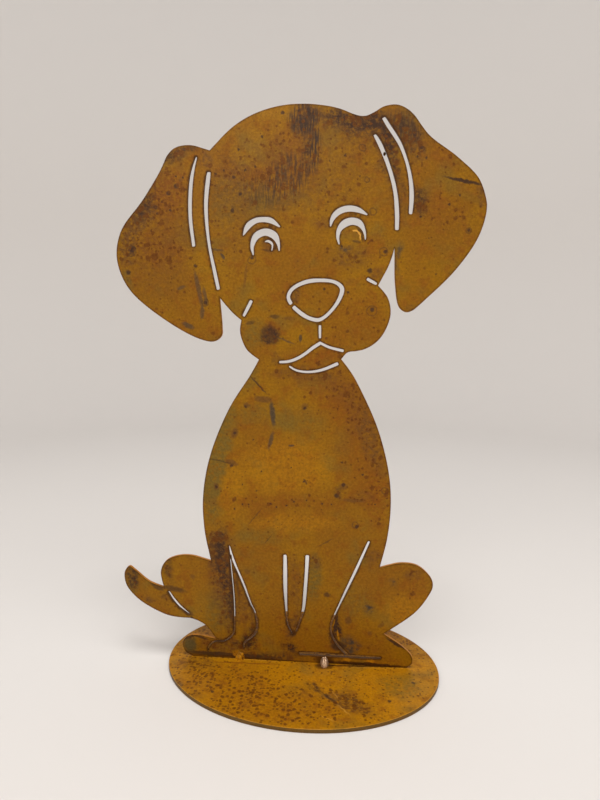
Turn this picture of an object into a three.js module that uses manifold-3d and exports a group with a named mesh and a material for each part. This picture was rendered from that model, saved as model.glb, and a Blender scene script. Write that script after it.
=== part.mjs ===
// A sitting puppy cut from one sheet of rusted steel, standing upright on a flat oval steel base.
// Millimetres, +Z up. The origin is the centre of the base's underside, and the puppy looks along -Y.

import * as THREE from 'three';
import { mergeVertices } from 'three/addons/utils/BufferGeometryUtils.js';
import Module from 'manifold-3d';

const wasm = await Module();
wasm.setup();

// Driving dimensions
const FIGURE_HEIGHT = 347.5; // from the sole to the top of the head
const SHEET_THICKNESS = 2; // the sheet that the figure is cut from
const SLOT_WIDTH = 2.2; // the drawn lines, cut right through the sheet
const NOSE_BRIDGE = 1.6; // metal left at the one place that holds the nose
const PHILTRUM_BRIDGE = 2; // metal left between the nose line and the philtrum
const MOUTH_BRIDGE = 1.4; // metal left between the philtrum and the mouth
const SOLE_STRIP = 4.8; // metal left under the slot below the right paws
const BASE_LENGTH = 177;
const BASE_WIDTH = 134;
const BASE_THICKNESS = 2.5;
const BASE_TURN = THREE.MathUtils.degToRad(-5.6); // the oval isn't quite in line with the figure
const FIGURE_LEFT_OF_CENTRE = 1.9;
const FIGURE_BEFORE_CENTRE = 1.2;
const WELD_DROP = { width: 5.6, depth: 5.6, height: 4.6 }; // the shiny drop in front
const FRONT_TACK = { width: 6.4, depth: 2.2, height: 6.6 }; // the low bead at the left paws
const BACK_TACK = { width: 9, depth: 4, height: 4 }; // each of the beads behind

const FINISH = {
  rust: { color: 0x966418, roughness: 0.55, metalness: 0.6 },
  brownRust: { color: 0x7a4c16, roughness: 0.6, metalness: 0.6 },
  weldMetal: { color: 0x7d7460, roughness: 0.3, metalness: 0.9 },
};

// How finely curves are divided
const LONGEST_CHORD = 6;
const SHARPEST_TURN = THREE.MathUtils.degToRad(9);
const SPLINE_SAMPLES = 240;
const SLOT_END_STEPS = 4;
const SLOT_END_SQUARENESS = 3; // 2 is a round slot end, and more is squarer
const BASE_SEGMENTS = 120;
const BEAD_SEGMENTS = 20;
const CUT_PAST_SHEET = 1; // how far a cut starts before the sheet and ends behind it
const SAME_PLACE = 1e-4; // points nearer to each other than this are one point

// The drawing is in hundredths of the figure's height: x across from the middle of the sole, z up from it.
const SHARE = FIGURE_HEIGHT / 100;
const FIGURE_X = -FIGURE_LEFT_OF_CENTRE;
const FIGURE_FRONT = -FIGURE_BEFORE_CENTRE - SHEET_THICKNESS / 2;
const FIGURE_BACK = FIGURE_FRONT + SHEET_THICKNESS;

// Heights in the drawing that lines share
const NOSE_TIP = 64.1;
const MOUTH_TOP = 60.2;
const PHILTRUM_TOP = NOSE_TIP - (SLOT_WIDTH / 2 + PHILTRUM_BRIDGE) / SHARE;
const PHILTRUM_FOOT = MOUTH_TOP + (SLOT_WIDTH / 2 + MOUTH_BRIDGE) / SHARE;
const PAW_LINE = (SOLE_STRIP + SLOT_WIDTH / 2) / SHARE;

// The outline, clockwise from where the left ear leaves the head. Each stretch is one smooth curve through
// its knots, it starts where the one before ends, and the stretches meet in corners.
const OUTLINE = {
  headTopAndRightEar: [
    [-16.3, 92.7], [-12.5, 96.3], [-8.9, 98.4], [-4.5, 99.7], [-0.2, 100], [4.1, 99.55], [6.4, 98.95],
    [8.3, 98.2], [10, 97.9], [11.4, 98.4], [13.1, 99.35], [15.4, 99.6], [17.6, 98.5], [20.8, 94.7],
    [25.3, 91.4], [29, 88], [30.1, 85.7], [30.7, 83.2], [29.6, 78.4], [26, 72.8], [20.7, 67.4], [19, 65.9],
    [17.9, 65.6], [16.7, 66.4], [15.9, 70], [15.6, 76.4],
  ],
  rightCheek: [[15.6, 76.4], [14.85, 73.8], [13, 70.1]],
  rightMuzzle: [[13, 70.1], [14.75, 67.95], [15.25, 65], [13.7, 61.2], [11.25, 59.25], [8, 58.5]],
  chin: [[8, 58.5], [6.9, 57.3]],
  rightFlank: [
    [6.9, 57.3], [8.7, 55], [10.25, 52.35], [13.65, 45.05], [15.8, 37.2], [16.35, 31.3], [15.9, 24.9],
    [14.7, 19.3],
  ],
  rightThigh: [
    [14.7, 19.3], [18.5, 20.35], [21.6, 19.95], [24.1, 17.6], [24.4, 16.2], [24, 14.9], [21.6, 11.2],
    [17.1, 7.45], [15.8, 6.5],
  ],
  rightHindPaw: [[15.8, 6.5], [19.1, 4.35], [21, 2.45], [21.2, 1], [20.2, 0]],
  sole: [[20.2, 0], [-20.2, 0]],
  leftHindPaw: [[-20.2, 0], [-21.7, 0.8], [-22.3, 2.5], [-21.5, 3.9], [-19.7, 4.35], [-15.8, 3.8]],
  tail: [
    [-15.8, 3.8], [-17.8, 6.4], [-20.4, 7.6], [-22.7, 7.7], [-25.3, 8.1], [-29.8, 10.3], [-31.8, 12],
    [-33.1, 13.9], [-33.3, 16.3], [-32.4, 17.5], [-31.3, 16.8], [-28.6, 14.65], [-25.75, 13.6],
  ],
  leftThigh: [[-25.75, 13.6], [-26.3, 16.6], [-25.4, 18.7], [-23.5, 19.8], [-20.6, 20.15], [-16.65, 19.2]],
  leftFlank: [
    [-16.65, 19.2], [-17.8, 25], [-18.05, 31.5], [-16.75, 39], [-13.15, 48], [-9.1, 54.45], [-7.7, 57],
  ],
  leftMuzzle: [[-7.7, 57], [-9.85, 58.7], [-10.9, 61], [-11.1, 62.2], [-10.85, 63.9]],
  leftCheek: [[-10.85, 63.9], [-12.3, 65.1], [-13.3, 66.15], [-14.7, 67.8]],
  leftEar: [
    [-14.7, 67.8], [-14.3, 63.1], [-14.4, 61.1], [-15.8, 60.1], [-18.3, 60.5], [-22.5, 62.5], [-28.6, 66.7],
    [-31, 69.1], [-32.5, 71.8], [-33.2, 75.3], [-32.2, 79.4], [-28.15, 84.65], [-24.8, 89.8], [-23.8, 91.85],
    [-22.4, 93.15], [-19.8, 93.6], [-16.3, 92.7],
  ],
};

// The lines cut through the sheet. A third number widens or narrows the slot there, as a share of SLOT_WIDTH.
const SLOTS = {
  leftEarOuter: [[-18.65, 91.7, 0.5], [-19.4, 89], [-19.8, 85.7, 1.15], [-19.85, 81.4, 1.1], [-19.3, 76.6]],
  leftEarInner: [
    [-16.5, 89.2, 1.1], [-16.75, 87.3, 1.3], [-17.05, 84.3, 1.2], [-16.95, 80.5], [-16.5, 76.6, 0.85],
    [-15.6, 72.2, 1.05], [-14.95, 69.2],
  ],
  rightEarInner: [
    [11.7, 95, 0.8], [12.45, 93.8, 1.1], [14.2, 89.85, 1.05], [15.4, 85.85, 1.05], [15.85, 82, 1.15],
    [15.9, 79.4],
  ],
  rightEarOuter: [
    [13.1, 97.7], [14.4, 95.75, 1.15], [15.8, 93.75, 1.05], [17.1, 90.8, 0.85], [17.9, 87.8],
    [18.2, 84.8, 1.2], [18.1, 82, 0.9],
  ],
  leftBrow: [
    [-10.55, 78.5, 0.3], [-10.05, 79.5, 1.3], [-9.55, 80.25, 1.7], [-8.4, 81, 1.55], [-7.2, 81.2, 1.45],
    [-5.8, 81.05, 1.5], [-4.1, 79.95, 0.35],
  ],
  leftEye: [
    [-8.75, 75.15, 0.35], [-8.95, 76.7, 1.1], [-8.25, 78.4, 1.9], [-6.6, 79.1, 2], [-5.1, 78.5, 1.9],
    [-4.4, 77.2, 0.95], [-4.2, 75.9, 0.35],
  ],
  leftEyeGlint: [[-6.75, 77.5, 0.35], [-6.1, 77.55, 0.7], [-5.45, 77.05, 0.55], [-5.5, 75.95, 0.35]],
  rightBrow: [
    [4.6, 80, 0.3], [4.8, 81], [5.35, 81.95, 1.5], [6.4, 82.7, 1.7], [7.8, 83, 1.7], [9.3, 82.75, 1.45],
    [10.85, 81.95, 0.4],
  ],
  rightEye: [
    [6.15, 77, 0.3], [5.9, 78.2, 0.8], [6.1, 79.45, 1.3], [6.95, 80.45, 2], [8.2, 80.9, 2], [9.45, 80.6, 1.8],
    [10.25, 79.55, 0.95], [10.55, 78.5, 0.5], [10.6, 77.8, 0.25],
  ],
  leftWhisker: [[-9.05, 67.4, 0.95], [-10.5, 64.6, 0.8]],
  rightWhisker: [[11.05, 71.25, 0.85], [12.75, 70.35, 0.7]],
  philtrum: [[3.05, PHILTRUM_TOP, 0.7], [3.1, PHILTRUM_FOOT, 0.6]],
  mouthLeft: [
    [3.35, MOUTH_TOP, 0.8], [1.95, 59.3, 0.85], [0.7, 58.3, 0.8], [-0.9, 57.3, 0.8], [-2.45, 56.75, 0.75],
    [-4.1, 56.6, 0.65],
  ],
  mouthRight: [[2.95, MOUTH_TOP, 0.7], [4.65, 59.4, 0.7], [7.3, 58.75, 0.75]],
  lowerLip: [[-2.3, 55.9, 0.5], [-1, 55.2, 0.6], [1.2, 54.95, 0.65], [3.5, 55.35, 0.75], [6.4, 56.55, 0.9]],
  leftPaws: [
    [-13.05, 20.3, 0.3], [-12.7, 16.6, 0.35], [-12.3, 11.6, 0.35], [-12.25, 7, 0.4], [-12.5, 5, 0.4],
    [-14.1, 3.5, 0.4], [-16.3, 3.1, 0.4], [-17.3, 1.9, 0.35], [-17.3, 1.3, 0.3],
  ],
  leftLegOuter: [
    [-13.2, 22.3, 0.3], [-12.65, 20, 0.85], [-11.6, 17.4, 0.7], [-10.5, 14.8, 0.75], [-9.1, 11, 0.5],
    [-8.4, 9.6, 0.45], [-7.95, 7.6, 0.55], [-8.1, 5.75, 0.6], [-9, 4.5, 0.6], [-10.3, 3.3, 0.55],
    [-10.5, 2.2, 0.4],
  ],
  leftLegInner: [
    [-2.75, 21, 0.9], [-2.7, 17.9, 1.15], [-2.65, 14.5, 1.1], [-2.5, 11.5, 0.75], [-2.35, 9.5, 0.55],
    [-2.1, 7.5, 0.4], [-1.2, 5.5, 0.3],
  ],
  rightLegInner: [
    [1.4, 21.1, 1.05], [1.25, 17.4, 0.95], [1.05, 14, 0.95], [0.8, 10.7, 0.8], [0.5, 9.3, 0.5],
    [0.05, 7.85, 0.4], [-0.55, 6, 0.3],
  ],
  rightLegOuter: [
    [12.65, 24.2, 0.65], [12.1, 22.8, 0.7], [10.15, 18, 0.8], [8.7, 14.6, 0.7], [7.75, 12.35, 0.55],
    [6.9, 10.3, 0.45], [6.1, 8.2, 0.45], [6, 6.9, 0.45], [6.25, 5.6, 0.5], [7.6, 3.5, 0.7],
    [9.4, PAW_LINE, 0.9],
  ],
  underRightPaws: [[0.1, PAW_LINE], [15.4, PAW_LINE, 0.6]],
  tailRoot: [[-24.9, 12.8, 0.6], [-24, 11.4, 0.85], [-22.7, 9.85, 0.9], [-20.9, 8.4, 0.5]],
};

// The line around the nose closes on itself but for the bridge, which is at the first knot.
const NOSE = [
  [-1.85, 66.6], [-2.55, 68], [-2.15, 69.1], [-1.15, 69.95], [0.9, 70.75, 1.1], [3.2, 70.95],
  [5.2, 70.75, 0.9], [6.25, 70.25], [6.8, 69.5, 1.15], [6.4, 67.85], [5.05, 65.8, 0.85], [3.5, 64.4, 0.9],
  [2.6, NOSE_TIP], [0.95, 64.5], [-0.1, 65.1, 1.1],
];

// The weld beads that hold the figure, by where they are across the drawing
const BEADS = [
  { name: 'weld_drop_front', across: 4.9, size: WELD_DROP, behind: false, finish: FINISH.weldMetal },
  { name: 'weld_tack_front', across: -11.2, size: FRONT_TACK, behind: false, finish: FINISH.brownRust },
  { name: 'weld_tack_back_left', across: -11.2, size: BACK_TACK, behind: true, finish: FINISH.brownRust },
  { name: 'weld_tack_back_middle', across: -1, size: BACK_TACK, behind: true, finish: FINISH.brownRust },
  { name: 'weld_tack_back_right', across: 7.2, size: BACK_TACK, behind: true, finish: FINISH.brownRust },
];

// A smooth curve through knots of the drawing. Its third coordinate is the width of a slot there.
function smoothCurve(knots, closed = false) {
  const points = knots.map(([x, z, width = 1]) => {
    return new THREE.Vector3(x * SHARE, z * SHARE, width * SLOT_WIDTH);
  });
  const curve = new THREE.CatmullRomCurve3(points, closed, 'centripetal');
  curve.arcLengthDivisions = SPLINE_SAMPLES;
  return curve;
}

function turnBetween(angle, next) {
  return Math.abs(Math.atan2(Math.sin(next - angle), Math.cos(next - angle)));
}

// Places along a curve, as shares of its length, with chords between them that aren't too long or turned.
function chordPlaces(curve) {
  const places = [0];
  let length = 0;
  let turning = 0;
  let before = curve.getPointAt(0);
  let heading = null;
  for (let i = 1; i < SPLINE_SAMPLES; i++) {
    const here = curve.getPointAt(i / SPLINE_SAMPLES);
    const angle = Math.atan2(here.y - before.y, here.x - before.x);
    turning += heading === null ? 0 : turnBetween(heading, angle);
    length += Math.hypot(here.x - before.x, here.y - before.y);
    heading = angle;
    before = here;
    if (length > LONGEST_CHORD || turning > SHARPEST_TURN) {
      places.push(i / SPLINE_SAMPLES);
      length = 0;
      turning = 0;
    }
  }
  places.push(1);
  return places;
}

function flatPoint(curve, place) {
  const point = curve.getPointAt(place);
  return new THREE.Vector2(point.x, point.y);
}

// The figure's outline. Each stretch leaves its last point to the next one.
function outlineShape() {
  const points = [];
  for (const knots of Object.values(OUTLINE)) {
    const curve = smoothCurve(knots);
    for (const place of chordPlaces(curve).slice(0, -1)) {
      points.push(flatPoint(curve, place));
    }
  }
  return new THREE.Shape(points);
}

// A slot along a curve, from one share of its length to another, with rounded square ends.
function slotShape(curve, from = 0, to = 1) {
  const end = SLOT_WIDTH / 2 / curve.getLength();
  const between = chordPlaces(curve).filter((place) => place > from + end && place < to - end);
  const steps = [...Array(SLOT_END_STEPS + 1).keys()].map((step) => end * (step / SLOT_END_STEPS) ** 2);
  const nearEnd = steps.map((step) => from + step);
  const farEnd = steps.map((step) => to - step).reverse();
  const places = [...nearEnd, ...between, ...farEnd];
  const near = [];
  const far = [];
  for (const place of places) {
    const middle = flatPoint(curve, place);
    const heading = curve.getTangentAt(place);
    const across = new THREE.Vector2(-heading.y, heading.x).normalize();
    const fromTip = Math.min(1, (place - from) / end, (to - place) / end);
    const fullness = (1 - (1 - fromTip) ** SLOT_END_SQUARENESS) ** (1 / SLOT_END_SQUARENESS);
    const half = (curve.getPointAt(place).z / 2) * fullness;
    near.push(middle.clone().addScaledVector(across, half));
    far.push(middle.clone().addScaledVector(across, -half));
  }
  const around = [...near, ...far.reverse()];
  return new THREE.Shape(around.filter((point, i) => point.distanceTo(around.at(i - 1)) > SAME_PLACE));
}

// The nose line's two ends each stand back from the middle of the bridge by half of it.
function noseSlot() {
  const curve = smoothCurve(NOSE, true);
  const standBack = NOSE_BRIDGE / 2 / curve.getLength();
  return slotShape(curve, standBack, 1 - standBack);
}

function toSolid(geometry) {
  const bare = geometry.clone();
  bare.deleteAttribute('normal');
  bare.deleteAttribute('uv');
  const merged = mergeVertices(bare, SAME_PLACE / 10);
  const mesh = new wasm.Mesh({
    numProp: 3,
    vertProperties: new Float32Array(merged.attributes.position.array),
    triVerts: new Uint32Array(merged.index.array),
  });
  return new wasm.Manifold(mesh);
}

function toGeometry(solid) {
  const mesh = solid.getMesh();
  const geometry = new THREE.BufferGeometry();
  geometry.setAttribute('position', new THREE.BufferAttribute(new Float32Array(mesh.vertProperties), 3));
  geometry.setIndex(new THREE.BufferAttribute(new Uint32Array(mesh.triVerts), 1));
  geometry.computeVertexNormals();
  return geometry;
}

function steelMesh(name, solid, finish) {
  const mesh = new THREE.Mesh(toGeometry(solid), new THREE.MeshStandardMaterial(finish));
  mesh.name = name;
  return mesh;
}

// A solid from a drawing that stands upright: x across, z up, and its thickness from front to back along Y.
function uprightPlate(shape, front, back) {
  const geometry = new THREE.ExtrudeGeometry(shape, { depth: back - front, bevelEnabled: false });
  geometry.rotateX(Math.PI / 2);
  geometry.translate(0, back, 0);
  return toSolid(geometry);
}

function figure() {
  const lines = Object.values(SLOTS).map((knots) => slotShape(smoothCurve(knots)));
  let plate = uprightPlate(outlineShape(), FIGURE_FRONT, FIGURE_BACK);
  for (const shape of [...lines, noseSlot()]) {
    plate = plate.subtract(uprightPlate(shape, FIGURE_FRONT - CUT_PAST_SHEET, FIGURE_BACK + CUT_PAST_SHEET));
  }
  const mesh = steelMesh('dog_figure', plate, FINISH.rust);
  mesh.position.set(FIGURE_X, 0, BASE_THICKNESS);
  return mesh;
}

function base() {
  const oval = new THREE.Shape();
  oval.absellipse(0, 0, BASE_LENGTH / 2, BASE_WIDTH / 2, 0, 2 * Math.PI, false, BASE_TURN);
  const around = new THREE.Shape(oval.getPoints(BASE_SEGMENTS / 2).slice(0, -1));
  const geometry = new THREE.ExtrudeGeometry(around, { depth: BASE_THICKNESS, bevelEnabled: false });
  return steelMesh('base_plate', toSolid(geometry), FINISH.rust);
}

// A weld bead in the corner of sheet and base: a quarter of a ball, flat where it meets the two.
function bead({ name, across, size, behind, finish }) {
  const rings = BEAD_SEGMENTS / 4;
  const profile = [new THREE.Vector2(0, 0), new THREE.Vector2(1, 0)];
  for (let i = 1; i < rings; i++) {
    const angle = (i / rings) * (Math.PI / 2);
    profile.push(new THREE.Vector2(Math.cos(angle), Math.sin(angle)));
  }
  profile.push(new THREE.Vector2(0, 1));
  const dome = new THREE.LatheGeometry(profile, BEAD_SEGMENTS);
  dome.rotateX(Math.PI / 2);
  dome.scale(size.width / 2, size.depth, size.height);
  const corner = new THREE.BoxGeometry(2 * size.width, 2 * size.depth, 2 * size.height);
  corner.translate(0, behind ? size.depth : -size.depth, size.height);
  const mesh = steelMesh(name, toSolid(dome).intersect(toSolid(corner)), finish);
  mesh.position.set(FIGURE_X + across * SHARE, behind ? FIGURE_BACK : FIGURE_FRONT, BASE_THICKNESS);
  return mesh;
}

const sculpture = new THREE.Group();
sculpture.add(base(), figure(), ...BEADS.map(bead));

export default sculpture;
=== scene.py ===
import itertools
import math

import bmesh
import bpy
import numpy as np
from mathutils import Matrix, Vector, kdtree, noise
from mathutils.geometry import delaunay_2d_cdt


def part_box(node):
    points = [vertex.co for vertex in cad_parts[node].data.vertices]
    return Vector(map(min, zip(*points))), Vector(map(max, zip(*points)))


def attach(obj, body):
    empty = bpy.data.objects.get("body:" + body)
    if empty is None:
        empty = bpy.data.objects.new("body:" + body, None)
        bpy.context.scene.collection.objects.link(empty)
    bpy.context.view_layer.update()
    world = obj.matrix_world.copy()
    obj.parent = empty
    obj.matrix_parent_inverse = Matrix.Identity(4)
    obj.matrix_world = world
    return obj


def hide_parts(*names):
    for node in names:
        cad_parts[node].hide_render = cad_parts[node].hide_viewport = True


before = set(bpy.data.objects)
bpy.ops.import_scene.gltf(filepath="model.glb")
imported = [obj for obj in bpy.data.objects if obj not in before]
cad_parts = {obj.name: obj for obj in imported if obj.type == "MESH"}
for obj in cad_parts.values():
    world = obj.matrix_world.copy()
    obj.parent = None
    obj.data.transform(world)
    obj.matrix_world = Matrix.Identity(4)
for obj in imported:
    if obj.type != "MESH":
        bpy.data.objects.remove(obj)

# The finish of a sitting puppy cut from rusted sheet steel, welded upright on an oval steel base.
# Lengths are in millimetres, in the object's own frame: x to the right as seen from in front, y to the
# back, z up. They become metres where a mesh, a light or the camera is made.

SCENE = bpy.context.scene
MM = 0.001
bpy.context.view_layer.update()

# How finely the sheets are meshed
GRID = 1.6  # between the points inside a sheet
RIM_STEP = 1.0  # between the points along its cut edges
SHARP_CORNER = math.radians(50)  # a corner of the outline that turns more than this stays sharp
SHARP_EDGE = math.radians(40)
LEAST_MITRE = 0.4  # keeps a corner that turns back from being moved far away
CLEAR_OF_RIM = 0.6  # in grid steps, how near to an edge the grid comes
SAME_PLACE = 1e-6  # points nearer to each other than this are one point
SAME_CORNER = 1e-5  # the same, for the triangulation
FACING = 0.99  # a CAD face whose normal comes this close to a direction looks that way
ONLY_INSIDE = 1  # the triangulation leaves out what lies outside the outer loop

# Each sheet's own directions among x, y and z: along, up and through it
FIGURE_AXES = (0, 2, 1)
BASE_AXES = (0, 1, 2)

# The cut edges: rounded by this radius, with one more flat ring inside so that the rounding stays narrow
FIGURE_EDGE = 0.22
BASE_EDGE = 0.45
FLAT_RING = 1.8  # in edge radii, how far in the flat part starts
HALF_ROUND = 1 - math.cos(math.radians(45))

# The figure's sheet isn't quite flat
WAVE_HEIGHT = 0.12
WAVE_LENGTH = 70

# The soft marks of the patina, among them painted shade on the base behind the figure
RAGGED = [(9, 3.5), (3, 1.2)]  # size and reach of the noise that makes their edges ragged
RAGGED_SEED = 1  # keeps that noise the same from run to run
FADE_FROM = 0.5  # in half sizes of the mark
FADE_TO = 1.45
WORN = ("umber", "dark", "rust")  # marks in which freckles are bigger
BRUSH = (1.3, 9)  # width and length of the strokes in a brushed mark

# The patina's own patterns, by the size of their features
CLOUD = 46  # from one main tone to the other
GREENING = 24
MOTTLE = 9
GRAIN = 1.5
MARK_GRAIN = 2.8  # inside the soft marks
SCORCH = 4  # along the cut edges
WALL_STAIN = 6  # on the walls of the cuts
WANDER = (3, 2.4)  # size and reach of what makes the edges of crisp marks wander
BLOT_SPACING = 15
RING_WIDTH = 0.45
LINE_EDGE = (0.3, 2.0)  # a crisp line fades between these squares of its half sizes
SPOT_EDGE = (0.5, 1.3)  # and a spot between these parts of its radius
BACK_AWAY = 90  # the back shows the pattern from this far off, so that it differs from the front

# Freckles: how far apart they are, how strong, and how big at most
FIGURE_FRECKLES = [(2.3, 0.8, 0.4), (4.4, 0.75, 0.42)]
BASE_FRECKLES = [(2, 0.75, 0.85), (2.9, 0.8, 0.7)]
BIGGEST_FRECKLE = 0.48  # in spacings

# A speck of slag left in the slot of one ear: its place, and half its size each way
SLAG_PLACE = (44.9, -0.2, 321.9)
SLAG_SIZE = (0.8, 0.95, 1.15)

# The weld beads
BEAD_AROUND = 28
BEAD_UP = 12
BEAD_SUNK = 0.3  # how far a bead reaches into the sheets that it joins
BEAD_LUMPS = 1.7  # how many lumps fit in half its width
BEAD_RIPPLES = 9  # how many half waves run round it

# The camera, which stands where the photograph was taken from
CAMERA_PLACE = (26.64, -369.54, 224.31)
CAMERA_HEADING = math.radians(4.594)
CAMERA_PITCH = math.radians(-7.466)
CAMERA_ROLL = math.radians(0.651)
CAMERA_LENS = 27
CAMERA_SENSOR = 36  # along the picture's height, its longer side

# The studio: a pale floor that rises into a low wall all round
FLOOR_RADIUS = 900
SWEEP_RADIUS = 500
WALL_TOP = 1500
SWEEP_STEPS = 10
STUDIO_SEGMENTS = 96
STUDIO_PALE = (214, 209, 204)
SKY = (236, 238, 242)
SKY_STRENGTH = 0.42
LIGHTS = {  # place, size across, power in watts
    "key": ((450, -550, 1250), 700, 4),
    "top": ((100, -450, 1900), 800, 19.5),
    "low": ((-250, -900, 800), 700, 2.9),
}
AIM = (0, 0, 150)

# The colours of the patina and of the highlights and shade painted on it, as screen colours of three numbers
# up to 255
PATINA = {
    "ochre": (142, 95, 20),
    "brass": (168, 113, 9),
    "bronze": (140, 96, 9),
    "tan": (131, 86, 12),
    "rust": (126, 72, 12),
    "umber": (101, 66, 27),
    "dark": (62, 42, 28),
    "olive": (112, 87, 30),
    # gold is also the colour of painted highlights along lit cut edges of the figure
    "gold": (172, 115, 8),
    # glint: painted highlights, on the figure's front and on the base's lip and top
    "glint": (216, 158, 66),
    "murk": (88, 74, 40),
    "slate": (66, 56, 44),
    # weld tint; on the base also painted contact shadow and painted shade behind the figure
    "heat": (78, 42, 12),
    "freckle": (96, 54, 12),
    "brushed": (64, 47, 34),
    # the figure's cut walls: a gold lighter than its face, partly a painted highlight
    "cut": (176, 112, 26),
    "cut_dark": (84, 62, 28),
    # the oxidised cut edges; also painted shade in the slots and painted contact shadow along the foot
    "oxide_and_shade": (62, 34, 10),
    "steel": (200, 166, 134),
}

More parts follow.
